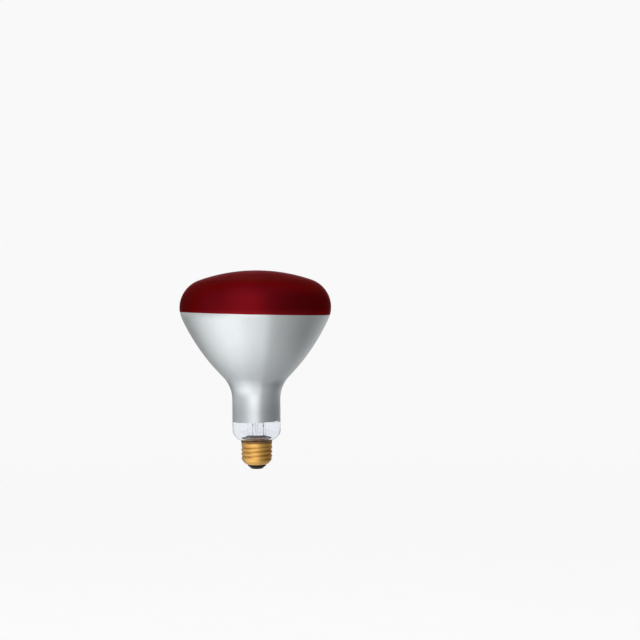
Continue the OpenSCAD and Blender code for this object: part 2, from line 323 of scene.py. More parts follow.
class Finish(Bench):
    """A material and the helpers that build it."""

    def __init__(self, name):
        self.material = bpy.data.materials.new(name)
        self.material.use_nodes = True
        super().__init__(self.material.node_tree)
        self.tree.nodes.clear()
        self.place = self.node("ShaderNodeTexCoord").outputs["Object"]

    def across(self):
        """The three coordinates, in millimetres."""
        split = self.node("ShaderNodeSeparateXYZ", None, {"Vector": self.place})
        return [self.number(out) * (1 / MM) for out in split.outputs]

    def stretched(self, amounts):
        """The coordinates with each axis stretched by its own amount."""
        sockets = {0: self.place, 1: amounts}
        return self.node("ShaderNodeVectorMath", {"operation": "MULTIPLY"}, sockets).outputs[0]

    def grain(self, size, detail=2.0, roughness=0.5, place=None):
        """Noise from 0 to 1 with features of about size millimetres."""
        sockets = {"Scale": 1 / (size * MM), "Detail": detail, "Roughness": roughness}
        sockets["Vector"] = place or self.place
        return self.number(self.node("ShaderNodeTexNoise", None, sockets).outputs["Fac"])

    def blend(self, share, first, second):
        """A colour that goes from first to second as share goes from 0 to 1."""
        made = self.node("ShaderNodeMix", {"data_type": "RGBA"}, {0: share, 6: first, 7: second})
        return made.outputs[2]

    def bump(self, height, depth, strength=1.0):
        """A normal from a height of 0 to 1, where 1 stands depth millimetres proud."""
        sockets = {"Height": height, "Distance": depth * MM, "Strength": strength}
        return self.node("ShaderNodeBump", None, sockets).outputs["Normal"]

    def surface(self, sockets):
        """The main shader. Colours are given with their alpha."""
        return self.node("ShaderNodeBsdfPrincipled", None, sockets).outputs[0]

    def done(self, shader):
        self.node("ShaderNodeOutputMaterial", None, {"Surface": shader})
        print("finish:", self.material.name)
        return self.material


# %% [markdown]
# ### Glass
#
# The neck and the stem are clear soda-lime glass. They bend light, so they are real closed walls with
# a glass shader, and faint long waves in the surface keep them from looking moulded in plastic. Glass
# stops the rays that look for lamps, which would leave the wires inside in the dark, so those rays are
# let through by a tinted transparent shader instead.

# %% Clear glass


def clear_glass(name, tint, wave_size, wave_depth):
    f = Finish(name)
    waves = f.grain(wave_size, 1.0)
    specks = f.grain(0.5, 2.0).rise(0.68, 0.82)
    normal = f.bump(waves + specks * 0.04, wave_depth)
    glass = f.surface({
        "Base Color": f.blend(specks, tint, tuple(0.9 * v for v in tint[:3]) + (1,)),
        "Roughness": 0.015,
        "IOR": 1.5,
        "Transmission Weight": 1.0,
        "Normal": normal,
    })
    clear = f.node("ShaderNodeBsdfTransparent", None, {"Color": (0.92, 0.93, 0.94, 1)}).outputs[0]
    for_lamps = f.node("ShaderNodeLightPath").outputs["Is Shadow Ray"]
    return f.done(f.node("ShaderNodeMixShader", None, {0: for_lamps, 1: glass, 2: clear}).outputs[0])


bulb_glass = clear_glass("clear_bulb_glass", (0.93, 0.945, 0.975, 1), 14, 0.1)
stem_glass = clear_glass("clear_stem_glass", (0.99, 0.993, 1.0, 1), 14, 0.1)

# %% [markdown]
# Above the film's edge the same glass lies right on the silver. There it hardly bends anything that
# can be seen, and what it adds is a clean reflection on top of the satin one. So that stretch is a
# transparent shader with a mirror mixed in by how steeply the surface is seen, and a little more
# where dust lies. It's quicker to render than glass, and the light still reaches the film.

# %% Glass over the silver


def glass_over_silver():
    f = Finish("glass_over_silver")
    facing = f.number(f.node("ShaderNodeLayerWeight", None, {"Blend": 0.5}).outputs["Facing"])
    dust = f.grain(0.7, 3.0).rise(0.66, 0.85)
    share = facing**5 * 0.75 + dust * 0.04 + 0.025
    gloss = f.node("ShaderNodeBsdfGlossy", None, {
        "Color": (1, 1, 1, 1),
        "Roughness": f.grain(18, 3.0) * 0.05 + 0.03,
        "Normal": f.bump(f.grain(12, 1.0), 0.05),
    }).outputs[0]
    clear = f.node("ShaderNodeBsdfTransparent", None, {"Color": (0.99, 0.99, 0.985, 1)}).outputs[0]
    return f.done(f.node("ShaderNodeMixShader", None, {0: share, 1: clear, 2: gloss}).outputs[0])


silvered_glass = glass_over_silver()

# %% [markdown]
# The skirt of the flare stands right over the dark cement and the dark inside of the base. Through
# the round heel of the bulb it looks like a brown band, darkest at the bottom. That band is painted
# shade: the skirt and the glass beside it get a brown finish, darkest at the bottom, that thins out
# upwards into clear glass. Only those faces get this finish.

# %% Painted shade on the skirt


def scorched_glaze():
    f = Finish("scorched_glaze")
    x, y, z = f.across()
    shade_mottle = f.grain(3, 4.0)
    bare = (z + shade_mottle * 0.4).rise(seal_height + 5.6, seal_height + 6.2)
    tone = (shade_mottle + z.rise(seal_height + 6, seal_height + 2) * 0.9).rise(0.35, 1.25)
    # The brown colour below is painted shade for the dark base seen through the glass, darker towards the bottom.
    shade_surface = f.surface({
        "Base Color": f.blend(tone, (0.215, 0.150, 0.120, 1), (0.105, 0.052, 0.027, 1)),
        "Roughness": shade_mottle * 0.3 + 0.45,
        "Normal": f.bump(shade_mottle, 0.1),
    })
    clear = f.node("ShaderNodeBsdfTransparent", None, {"Color": (0.97, 0.97, 0.98, 1)}).outputs[0]
    return f.done(f.node("ShaderNodeMixShader", None, {0: bare, 1: shade_surface, 2: clear}).outputs[0])


seal_shade_finish = scorched_glaze()

# %% [markdown]
# ### The red coat
#
# The face is sprayed with a red stain that is baked on. The light that comes back from it has been
# through the stain and off the silver behind, so even its highlights are red. Only a metallic shader
# tints its reflections like that. The stain is a little uneven from the spray, and its colour is
# painted brighter towards its lower edge as a painted highlight. A trace of clear coat gives the skin of the glass.

# %% Red stain


def red_stain():
    f = Finish("baked_red_stain")
    x, y, z = f.across()
    clouds = f.grain(26, 3.0)
    mottle = f.grain(2.2, 3.0)
    # The mask below makes the colour brighter towards the lower edge: a painted highlight, not a thinner coat. depth
    # mixes it with the spray's real unevenness.
    thin = z.rise(coat_edge_height + 5.5, coat_edge_height - 1.5)
    depth = (clouds * 0.45 + mottle * 0.15 + thin * 0.55).rise(0.15, 1.0)
    colour = f.blend(depth, (0.155, 0.0022, 0.0062, 1), (0.27, 0.0085, 0.012, 1))
    peel = f.grain(1.6, 2.0)
    pits = f.grain(0.35, 2.0).rise(0.7, 0.85)
    return f.done(f.surface({
        "Base Color": colour,
        "Metallic": 1.0,
        "Roughness": mottle * 0.08 + 0.26,
        "Specular Tint": (0.5, 0.03, 0.08, 1),
        "Coat Weight": 0.04,
        "Coat Roughness": 0.06,
        "Normal": f.bump(peel - pits * 0.5, 0.015),
    }))


red_coat = red_stain()

# %% [markdown]
# ### The silver film
#
# Aluminium is evaporated onto glass that was etched inside, so it shines like satin and not like a
# mirror. The roughness carries most of that look. A fine grain breaks up the highlight and broad clouds
# show where the film is thicker. Round the shoulder and low in the neck its colour is painted greyer,
# as painted shade, and at its lower edge it dies out in specks over half a millimetre.

# %% Aluminium film


def aluminium_film():
    f = Finish("satin_aluminium_film")
    x, y, z = f.across()
    clouds = f.grain(30, 3.0)
    grain = f.grain(0.8, 3.0)
    streaks = f.grain(7, 3.0, place=f.stretched((1.0, 1.0, 0.12)))
    # The two height masks below paint the shoulder and the low neck greyer: painted shade. They are summed with the
    # film's real clouds and streaks.
    shoulder = z.rise(102, 76) * z.rise(66, 73)
    painted_neck_shade = z.rise(65, 47)
    thin = clouds * 0.2 + streaks * 0.14 + shoulder * 0.3 + painted_neck_shade * 0.34
    colour = f.blend(thin.rise(0.02, 1.0), (0.78, 0.825, 0.85, 1), (0.46, 0.49, 0.53, 1))
    bare = (z + f.grain(0.5, 2.0) * 1.3).rise(film_edge_height + 0.75, film_edge_height + 0.45)
    film = f.surface({
        "Base Color": colour,
        "Metallic": 1.0,
        "Roughness": clouds * 0.06 + grain * 0.05 + 0.17,
        "Normal": f.bump(grain + streaks * 0.4, 0.006),
    })
    clear = f.node("ShaderNodeBsdfTransparent", None, {"Color": (1, 1, 1, 1)}).outputs[0]
    return f.done(f.node("ShaderNodeMixShader", None, {0: bare, 1: film, 2: clear}).outputs[0])


silver = aluminium_film()

# %% [markdown]
# ### Brass
#
# The screw shell is rolled from thin brass. The crests rub on every lampholder and stay bright, the
# roots keep a brown tarnish, and a band just under the rim's top edge is darker. The side towards +x
# is painted darker and browner as well: painted shade, away from the window light. The thread is a
# known spiral, so the shader can work out crest and root from the same sum that shapes the mesh: the
# cosine of height over pitch, less the angle.

# %% Thread sizes
THREAD_PITCH = 25.4 / 7
THREAD_DEPTH = 0.85
THREAD_LOW, THREAD_HIGH, THREAD_FADE = 8.0, 20.0, 1.6
rim_height = high("screw_shell", Z)
print(f"thread pitch {THREAD_PITCH:.3f} mm")

# %% Rolled brass


def rolled_brass():
    f = Finish("rolled_brass")
    x, y, z = f.across()
    turn = f.number(f.node("ShaderNodeMath", {"operation": "ARCTAN2"}, {0: y, 1: x}).outputs[0])
    crest = (z * (2 * math.pi / THREAD_PITCH) - turn).cos() * 0.5 + 0.5
    threaded = z.rise(THREAD_LOW, THREAD_LOW + 1) * z.rise(THREAD_HIGH, THREAD_HIGH - 1)
    root = (1 - crest) * threaded
    patches = f.grain(5, 4.0)
    # x.rise(3, 12) darkens the +x side of the shell: painted shade, mixed into the tarnish.
    stain = (root * 0.6 + patches * 0.55 + x.rise(3, 12) * 0.3).rise(0.35, 1.15)
    ring_place = f.node("ShaderNodeCombineXYZ", None, {"X": turn * 0.004, "Y": z * 0.012, "Z": 0.0}).outputs[0]
    lines = f.grain(1.0, 3.0, place=ring_place)
    colour = f.blend(stain, (0.85, 0.48, 0.135, 1), (0.4, 0.17, 0.024, 1))
    # A band just under the rim's top edge is made darker.
    dark_rim_band = (z + patches).rise(rim_height - 0.9, rim_height - 0.3)
    colour = f.blend(dark_rim_band * 0.85, colour, (0.15, 0.07, 0.02, 1))
    spots = f.grain(0.6, 2.0).rise(0.7, 0.8)
    return f.done(f.surface({
        "Base Color": f.blend(spots * 0.7, colour, (0.18, 0.08, 0.02, 1)),
        "Metallic": 1.0,
        "Roughness": stain * 0.2 + lines * 0.12 + 0.11,
        "Normal": f.bump(lines * 0.5 + patches * 0.5, 0.03),
    }))


brass = rolled_brass()

# %% [markdown]
# ### Small metals, solder, black glass and cement
#
# Wires are drawn through a die, so their marks run along them. Solder freezes with a soft, wrinkled
# skin. The insulator is poured black glass, and the cement is a gritty brown paste baked hard. One
# function makes all the plain metals, because they differ only in colour, shine and texture size.

# %% Metals, solder, black glass, cement


def plain_metal(name, light, dark, shine, size, depth):
    """A bare metal: two tones, a roughness and a surface texture of a given size and depth."""
    f = Finish(name)
    patches = f.grain(size * 4, 3.0)
    skin = f.grain(size, 3.0)
    tone = (patches * 0.7 + skin * 0.3).rise(0.3, 0.7)
    return f.done(f.surface({
        "Base Color": f.blend(tone, light + (1,), dark + (1,)),
        "Metallic": 1.0,
        "Roughness": patches * 0.15 + skin * 0.1 + shine,
        "Normal": f.bump(skin, depth),
    }))


nickel = plain_metal("drawn_nickel", (0.4, 0.39, 0.37), (0.22, 0.21, 0.2), 0.2, 0.5, 0.01)
seal_copper = plain_metal("borated_copper_wire", (0.62, 0.27, 0.16), (0.35, 0.12, 0.08), 0.25, 0.6, 0.01)
molybdenum = plain_metal("grey_molybdenum", (0.42, 0.42, 0.43), (0.25, 0.25, 0.27), 0.25, 0.4, 0.01)
tungsten = plain_metal("recrystallised_tungsten", (0.3, 0.3, 0.32), (0.15, 0.15, 0.17), 0.3, 0.25, 0.01)
solder = plain_metal("frozen_solder", (0.5, 0.5, 0.51), (0.26, 0.26, 0.27), 0.24, 0.7, 0.05)
eyelet_brass = plain_metal("stamped_eyelet_brass", (0.72, 0.52, 0.24), (0.45, 0.3, 0.12), 0.2, 0.9, 0.02)


def black_glass():
    f = Finish("poured_black_glass")
    swirl = f.grain(6, 3.0, place=f.stretched((1.0, 1.0, 2.5)))
    pits = f.grain(0.5, 2.0).rise(0.66, 0.8)
    return f.done(f.surface({
        "Base Color": f.blend(swirl, (0.003, 0.002, 0.001, 1), (0.01, 0.007, 0.004, 1)),
        "Roughness": swirl * 0.15 + pits * 0.3 + 0.14,
        "Specular IOR Level": 0.12,
        "Normal": f.bump(swirl - pits * 0.6, 0.06),
    }))


insulator_glass = black_glass()


def basing_cement():
    f = Finish("baked_basing_cement")
    grit = f.grain(0.45, 4.0, 0.65)
    clods = f.grain(2.5, 3.0)
    tone = (grit * 0.5 + clods * 0.5).rise(0.35, 0.65)
    return f.done(f.surface({
        "Base Color": f.blend(tone, (0.13, 0.08, 0.05, 1), (0.34, 0.22, 0.14, 1)),
        "Roughness": grit * 0.2 + 0.75,
        "Normal": f.bump(grit + clods, 0.15),
    }))


cement = basing_cement()

# %% [markdown]
# ## The glass
#
# A finished lamp holds a single piece of glass. The bulb is fused to the foot of the stem's flare; the
# flare tube is pinched flat round the lead wires; and the exhaust tube and the rod for the supports are
# fused to that pinch. Separate meshes that touch would show a skin at each joint, because a ray of
# light would meet air there. So all of it is one mesh with three skins: the outside, which runs over
# the bulb, under its foot and up inside the flare to the tip of the exhaust tube; the inside, round the
# sealed space; and the bore of the exhaust tube. The pinch is the only part that isn't round: its
# rings are pressed from circles into long ovals by the same shift that gives the other rings their
# slight wander.

# %% Outlines of the glass
stem_radius = 7.7
flare_radius = seal_radius - glass_wall
stem_wall = 1.0
pinch_low, pinch_high = low("stem_pinch", Z), high("stem_pinch", Z)
pinch_thickness = 4.4
exhaust_radius = high("exhaust_tube", X)
exhaust_tip = low("exhaust_tube", Z)
rod_radius = 1.3
button_radius = high("support_rod", X)
button_height = high("support_rod", Z) - button_radius


def bulb_line(inset, last_height):
    """The bulb's outline from its crown to the straight seal at its foot."""
    return (
        face_arc(inset)
        + rim_arc(inset, face_end, -side_angle)[1:]
        + side_arc(inset)[1:]
        + blend_arc(inset)[1:]
        + straight((neck_radius - inset, blend_centre_z), (neck_radius - inset, heel_centre_z))[1:]
        + heel_arc(inset)[1:]
        + throat_arc(inset)[1:]
        + straight((seal_radius - inset, throat_centre_z), (seal_radius - inset, last_height), 0.4)[1:]
    )


def flare_line(inset):
    """The flare from the seal up to the pinch."""
    corners = [
        (flare_radius - 0.05 - inset, seal_height + 4),
        (flare_radius - 0.4 - inset, seal_height + 5.1),
        (flare_radius - 1.3 - inset, seal_height + 6),
        (stem_radius + 0.7 - inset, seal_height + 7),
        (stem_radius + 0.2 - inset, seal_height + 9),
        (stem_radius - inset, seal_height + 12),
        (stem_radius - inset, pinch_low),
    ]
    return through([(flare_radius - inset, seal_height + 1.4)] + corners, 0.7)


def through(corners, spacing):
    """A smooth line through some points, about spacing millimetres between its own points."""
    line = [corners[0]]
    padded = [corners[0]] + corners + [corners[-1]]
    for before, a, b, after in zip(padded, padded[1:], padded[2:], padded[3:]):
        steps = max(1, math.ceil(math.dist(a, b) / spacing))
        for i in range(1, steps + 1):
            t = i / steps
            line.append(tuple(
                0.5 * (2 * p1 + (p2 - p0) * t + (2 * p0 - 5 * p1 + 4 * p2 - p3) * t**2
                       + (3 * p1 - p0 - 3 * p2 + p3) * t**3)
                for p0, p1, p2, p3 in zip(before, a, b, after)
            ))
    return line


outer_skin = (
    bulb_line(0, seal_height)
    + [(seal_radius - 0.5, seal_height), (flare_radius - stem_wall + 0.3, seal_height)]
    + flare_line(stem_wall)
    + [(stem_radius - stem_wall - 0.6, pinch_low + 0.9), (exhaust_radius + 1.2, pinch_low + 1.3)]
    + [(exhaust_radius + 0.4, pinch_low + 1), (exhaust_radius, pinch_low)]
    + straight((exhaust_radius, pinch_low - 1), (exhaust_radius, exhaust_tip + 2.6), 2)
    + through([(exhaust_radius, exhaust_tip + 2), (exhaust_radius - 0.5, exhaust_tip + 0.7),
               (0.5, exhaust_tip + 0.1), (0, exhaust_tip)], 0.3)
)
sealed_skin = (
    bulb_line(glass_wall, seal_height + 2.2)
    + [(flare_radius - 0.06, seal_height + 1.75), (flare_radius - 0.16, seal_height + 1.75)]
    + [(r - (0.22 if z < seal_height + 4 else 0), z) for r, z in flare_line(0) if z > seal_height + 1.9]
    + straight((stem_radius, pinch_low + 0.5), (stem_radius, pinch_high - 1), 0.5)
    + [(stem_radius - 0.2, pinch_high - 0.4), (stem_radius - 0.8, pinch_high)]
    + [(rod_radius + 0.7, pinch_high), (rod_radius + 0.1, pinch_high + 0.6)]
    + straight((rod_radius, pinch_high + 1.4), (rod_radius, button_height - 3.2), 2)
    + arc(0, button_height, button_radius, math.radians(-63), math.pi / 2, 0.5)
)
sealed_skin[-1] = (0, sealed_skin[-1][1])
bore = through([(0, pinch_low + 2.5), (0.7, pinch_low + 2.2), (exhaust_radius - 1, pinch_low + 1)], 0.4)
bore += straight((exhaust_radius - 1, pinch_low - 1), (exhaust_radius - 1, exhaust_tip + 3), 3)
bore += through([(exhaust_radius - 1.1, exhaust_tip + 2.6), (0.4, exhaust_tip + 1.7), (0, exhaust_tip + 1.6)], 0.4)
print(f"outside {len(outer_skin)} rings, sealed side {len(sealed_skin)} rings, bore {len(bore)} rings")

# %% The fused glass


def oval_radius(turn):
    """Distance from the axis to the pinch's long oval, in a direction."""
    half, cap = stem_radius - pinch_thickness / 2, pinch_thickness / 2
    across = abs(math.sin(turn))
    if across > 1e-6 and cap / across * abs(math.cos(turn)) <= half:
        return cap / across
    return half * abs(math.cos(turn)) + math.sqrt(cap**2 - (half * across) ** 2)


def blown_and_pressed(turn, r, z):
    """The sealed side of the neck wanders, and the rings of the pinch are pressed flat."""
    if 4 < r < stem_radius + 0.1 and pinch_low + 0.4 < z < pinch_high + 0.1:
        share = max(0, min(1, (z - pinch_low - 0.4) / 2.4))
        share = share * share * (3 - 2 * share)
        flat = oval_radius(turn) * r / stem_radius
        return (flat - r) * share, 0
    if heel_height + 0.6 < z < blend_centre_z and neck_radius - 3 < r < neck_radius - glass_wall + 0.01:
        return 0.05 * wavy(turn, z, 9), 0
    if seal_height + 4 < z < pinch_low and 4 < r < flare_radius:
        return 0.06 * wavy(turn, z, 7, 5.0), 0
    return 0, 0


glass = spin(
    "fused_glass", [outer_skin, sealed_skin[::-1], bore[::-1]],
    [silvered_glass, bulb_glass, seal_shade_finish, stem_glass], columns=144, shift=blown_and_pressed,
)
for face in glass.data.polygons:
    away = math.hypot(face.center.x, face.center.y) / MM
    over_silver = face.center.z > film_edge_height * MM and away > neck_radius - 4 or face.center.z > 0.1
    outward = face.normal.x * face.center.x + face.normal.y * face.center.y > 0
    # These faces, the skirt and the underside of the heel, get the painted shade finish.
    low_down = seal_height + 1.6 < face.center.z / MM < seal_height + 7.6
    shaded_seal_face = low_down and (exhaust_radius + 2 < away < flare_radius + 0.1 if outward else away < 12.4)
    shaded_seal_face = shaded_seal_face or (face.center.z / MM < heel_height + 0.15 and seal_radius - 0.1 < away < 13.5)
    of_the_stem = away < stem_radius + 1.5 and face.center.z / MM > seal_height + 3
    face.material_index = 0 if over_silver else 2 if shaded_seal_face else 3 if of_the_stem else 1
print(f"fused glass: {len(glass.data.polygons)} faces")

# %% [markdown]
# ## The two coats
#
# Both coats are thin closed skins that follow the glass. A coat that lay exactly on the glass would
# flicker where the two surfaces share a place, so the red one stands two hundredths of a millimetre
# off; the film's own place is explained at its cell. Neither edge is a perfect circle: the red one
# dips a little to one side, as a hand-masked spray does, and the silver one wanders by about half a
# millimetre.

# %% Red coat
OFF_THE_GLASS = 0.02
RED_EDGE_DIP = 1.85


def coat_line(inset):
    stop = math.asin((coat_edge_height - rim_centre_z) / (rim_radius + coat_thickness))
    return face_arc(inset) + rim_arc(inset, face_end, stop)[1:]


def slide_on_rim(r, z, amount):
    """Moves a point of the rounded rim down its arc by amount millimetres."""
    reach = math.hypot(r - rim_centre_r, z - rim_centre_z)
    angle = math.atan2(z - rim_centre_z, r - rim_centre_r) - amount / reach
    return rim_centre_r + reach * math.cos(angle) - r, rim_centre_z + reach * math.sin(angle) - z


def red_edge(turn, r, z):
    """The lower stretch of the coat slides along the glass, most at its edge."""
    share = max(0, min(1, (coat_edge_height + 9 - z) / 9))
    if share == 0:
        return 0, 0
    dip = RED_EDGE_DIP * math.cos(turn) + 0.12 * wavy(turn, 0, 5, 3.0)
    return slide_on_rim(r, z, dip * share * share)


outer = coat_line(-coat_thickness)
inner = coat_line(-OFF_THE_GLASS)
lip_r, lip_z = outer[-1]
outer[-1] = (lip_r - 0.02, lip_z + 0.04)
outer.append((lip_r - 0.08, lip_z))
face_coat = spin("red_face_stain", outer + inner[::-1], red_coat, columns=192, shift=red_edge)
print(f"red coat: {len(face_coat.data.polygons)} faces, edge dips {2 * RED_EDGE_DIP:.1f} mm across the face")

# %% [markdown]
# The film lies on the inside of the wall, 1.1 mm in. But a round glass wall works as a lens, and the
# film seems to reach right out to the bulb's outline, as the liquid does in a full bottle. The wall
# over the film doesn't bend light here, so the film is put where it would seem to be, just under the
# outer surface.

# %% Silver film
SEEMING_DEPTH = 0.12


def film_line(inset):
    start = math.asin((film_top_height - rim_centre_z) / (rim_radius - glass_wall - film_thickness))
    return (
        rim_arc(inset, start, -side_angle)
        + side_arc(inset)[1:]
        + blend_arc(inset)[1:]
        + straight((neck_radius - inset, blend_centre_z), (neck_radius - inset, film_edge_height))[1:]
    )


def film_edge(turn, r, z):
    """The film's lower edge wanders a little, and dips to one side."""
    share = max(0, min(1, (film_edge_height + 6 - z) / 6))
    return 0, share * (0.4 * math.cos(turn) + 0.3 * wavy(turn, 0, 7, 8.0) + 0.35)


film = spin(
    "mirror_film",
    film_line(SEEMING_DEPTH) + film_line(SEEMING_DEPTH + film_thickness)[::-1],
    silver,
    shift=film_edge,
)
print(f"film: {len(film.data.polygons)} faces")

# %% [markdown]
# ## Growing wires with Geometry Nodes
#
# A wire is a line with a thickness: bend the line, and the metal follows. Geometry Nodes do that in
# four steps. Mesh to Curve takes a few corner points, Fillet Curve rounds the corners as a bending
# jig would, Curve to Mesh runs a circle along the line, and Set Material gives it its finish. The same
# tree makes every lead, only with other corners and sizes, so it's built once.

# %% Recipes


class Recipe(Bench):
    """A Geometry Nodes tree with named inputs, and a way to grow a finished mesh from it."""

    def __init__(self, name, **inputs):
        super().__init__(bpy.data.node_groups.new(name, "GeometryNodeTree"))
        face = self.tree.interface
        face.new_socket(name="Geometry", in_out="INPUT", socket_type="NodeSocketGeometry")
        self.idents = {}
        for key, kind in inputs.items():
            made = face.new_socket(name=key, in_out="INPUT", socket_type="NodeSocket" + kind)
            self.idents[key] = made.identifier
        material = face.new_socket(name="Finish", in_out="INPUT", socket_type="NodeSocketMaterial")
        self.idents["Finish"] = material.identifier
        face.new_socket(name="Geometry", in_out="OUTPUT", socket_type="NodeSocketGeometry")
        self.given = self.node("NodeGroupInput").outputs

    def size(self, key):
        return self.number(self.given[key])

    def finished(self, geometry):
        """Ends the tree: instances made real, smooth shading and the finish."""
        real = self.node("GeometryNodeRealizeInstances", None, {"Geometry": geometry}).outputs[0]
        smooth = self.node("GeometryNodeSetShadeSmooth", None, {"Geometry": real}).outputs[0]
        coated = {"Geometry": smooth, "Material": self.given["Finish"]}
        last = self.node("GeometryNodeSetMaterial", None, coated).outputs[0]
        self.node("NodeGroupOutput", None, {"Geometry": last})
        return self

    def grow(self, name, corners, finish, sharp=35, start=None, **sizes):
        """Runs the tree on a chain of corner points in millimetres, or on a mesh, and keeps the result."""
        mesh = start or bpy.data.meshes.new(name + "_line")
        if start is None:
            mesh.from_pydata([Vector(p) * MM for p in corners], [(i, i + 1) for i in range(len(corners) - 1)], [])
        piece = bpy.data.objects.new(name, mesh)
        bpy.context.scene.collection.objects.link(piece)
        modifier = piece.modifiers.new("Grow", "NODES")
        modifier.node_group = self.tree
        for key, value in {**sizes, "Finish": finish}.items():
            modifier[self.idents[key]] = value
        ready = piece.evaluated_get(bpy.context.evaluated_depsgraph_get())
        grown = bpy.data.meshes.new_from_object(ready)
        piece.modifiers.clear()
        piece.data = grown
        grown.set_sharp_from_angle(angle=math.radians(sharp))
        print(f"{name}: {len(grown.polygons)} faces")
        return piece


def wire_recipe():
    r = Recipe("bent_wire", Thickness="Float", Bend="Float", Sides="Int")
    line = r.node("GeometryNodeMeshToCurve", None, {"Mesh": r.given["Geometry"]}).outputs[0]
    bends = {"Curve": line, "Count": 6, "Radius": r.given["Bend"], "Limit Radius": True}
    line = r.node("GeometryNodeFilletCurve", {"mode": "POLY"}, bends).outputs[0]
    round_section = {"Resolution": r.given["Sides"], "Radius": r.size("Thickness") * 0.5}
    section = r.node("GeometryNodeCurvePrimitiveCircle", {"mode": "RADIUS"}, round_section).outputs[0]
    tube = {"Curve": line, "Profile Curve": section, "Fill Caps": True}
    return r.finished(r.node("GeometryNodeCurveToMesh", None, tube).outputs[0])


wire = wire_recipe()


def lead(name, corners, thickness, finish, bend=1.0, sides=12):
    return wire.grow(name, corners, finish, Thickness=thickness * MM, Bend=bend * MM, Sides=sides)


def joined(name, pieces):
    """One object made of several, with the first one's name changed."""
    with bpy.context.temp_override(active_object=pieces[0], selected_editable_objects=pieces):
        bpy.ops.object.join()
    pieces[0].name = name
    return pieces[0]


# %% [markdown]
# ## Lead wires
#
# Current comes up from the tip contact by one lead and goes back to the screw shell by the other. Where
# they pass through the pinch they are copper-clad, because that metal swells with heat as the glass
# does. The centre lead has a thin stretch that melts first if the lamp arcs. The side lead is welded to
# a thinner wire that bends out over the brass rim, where it's soldered.

# %% Outer leads
left_x = (low("seal_wire_left", X) + high("seal_wire_left", X)) / 2
right_x = (low("seal_wire_right", X) + high("seal_wire_right", X)) / 2
fuse_low, fuse_high = low("lead_fuse", Z), high("lead_fuse", Z)
side_turn = math.radians(75)
post_radius = seal_radius + 0.35
post = Vector((post_radius * math.cos(side_turn), post_radius * math.sin(side_turn), 0))
heading = (post - Vector((right_x, 0, 0))).normalized()
out_post = post + heading * 1.9
weld_height = 36.2

seal_left = lead("seal_wire_in_glass_left", [(left_x, 0, pinch_low), (left_x, 0, pinch_high)], 0.7, seal_copper)
seal_right = lead("seal_wire_in_glass_right", [(right_x, 0, pinch_low), (right_x, 0, pinch_high)], 0.7, seal_copper)
centre_upper = lead("centre_lead_upper", [(left_x, 0, fuse_high), (left_x, 0, pinch_low)], 0.7, nickel)
fuse = lead("thin_fuse_wire", [(left_x, 0, fuse_low), (left_x, 0, fuse_high)], 0.35, nickel)
centre_lower = lead(
    "centre_lead_lower",
    [(left_x, 0, fuse_low), (left_x, 0, 13), (0, 0, 9.6), (0, 0, 0.7)], 0.7, nickel,
)


def weld_bead(name, x, z, radius):
    """A small melted ball on a wire, a little longer than it is wide."""
    ball = arc(0, z, radius, math.pi / 2, -math.pi / 2, 0.12)
    ball = [(max(0.0, r), z + (h - z) * 1.2) for r, h in ball]
    ball[0], ball[-1] = (0, ball[0][1]), (0, ball[-1][1])
    bead = spin(name, ball, nickel, columns=20)
    bead.data.transform(Matrix.Translation((x * MM, 0, 0)))
    return bead


side_lead = joined("side_lead", [
    lead("side_lead_thick", [(right_x, 0, weld_height), (right_x, 0, pinch_low)], 0.7, nickel),
    weld_bead("side_lead_bead", right_x, weld_height, 0.6),
    lead(
        "side_lead_thin",
        [(right_x, 0, weld_height), (right_x, 0, seal_height - 0.6), post + Vector((0, 0, seal_height - 0.6)),
         post + Vector((0, 0, rim_height + 0.2)), out_post + Vector((0, 0, rim_height + 0.2))],
        0.4, nickel, 0.35,
    ),
])
print("side lead runs towards", tuple(round(v, 2) for v in heading))

# %% Inner leads
ring_height = (low("filament_coil", Z) + high("filament_coil", Z)) / 2
coil_radius = (high("filament_coil", Z) - low("filament_coil", Z)) / 2
ring_radius = 12.0
ring_gap = math.radians(60)
left_end = math.radians(270) - ring_gap / 2
right_end = math.radians(270) + ring_gap / 2


def inner_lead(name, x, end_turn):
    """A lead that leans out to one end of the filament and is folded round it there."""
    tip = Vector((ring_radius * math.cos(end_turn), ring_radius * math.sin(end_turn), 0))
    foot = Vector((x, 0, 0))
    rise = [foot + Vector((0, 0, pinch_high)), foot + Vector((0, 0, pinch_high + 5)),
            tip + Vector((0, 0, ring_height - 16)), tip + Vector((0, 0, ring_height - coil_radius - 0.3))]
    grip = [(coil_radius, -1.2), (coil_radius + 0.12, -1.3), (coil_radius + 0.4, -1.3), (coil_radius + 0.5, -1.1),
            (coil_radius + 0.5, 1.1), (coil_radius + 0.4, 1.3), (coil_radius + 0.12, 1.3), (coil_radius, 1.2)]
    clamp = spin(name + "_fold", grip[::-1], nickel, columns=32)
    turned = Matrix.Rotation(end_turn, 4, "Z") @ Matrix.Rotation(math.pi / 2, 4, "X")
    clamp.data.transform(Matrix.Translation((tip + Vector((0, 0, ring_height))) * MM) @ turned)
    return joined(name, [lead(name + "_post", rise, 1.0, nickel, 2.0), clamp])


inner_left = inner_lead("inner_lead_post_left", left_x, left_end)
inner_right = inner_lead("inner_lead_post_right", right_x, right_end)

# %% [markdown]
# ## Filament
#
# The filament is a coil of tungsten bent round into an open ring. A point on it turns round the coil
# while it travels round the ring, which is a sum with two sines and two cosines. So the nodes start
# from a row of points, move each one to its place by that sum, and run a small six-sided section along
# the line. Modelling it turn by turn would be slow, and an array of rings wouldn't be one wire.

# %% Coiled coil on a ring
COIL_TURNS = 150
POINTS_A_TURN = 14


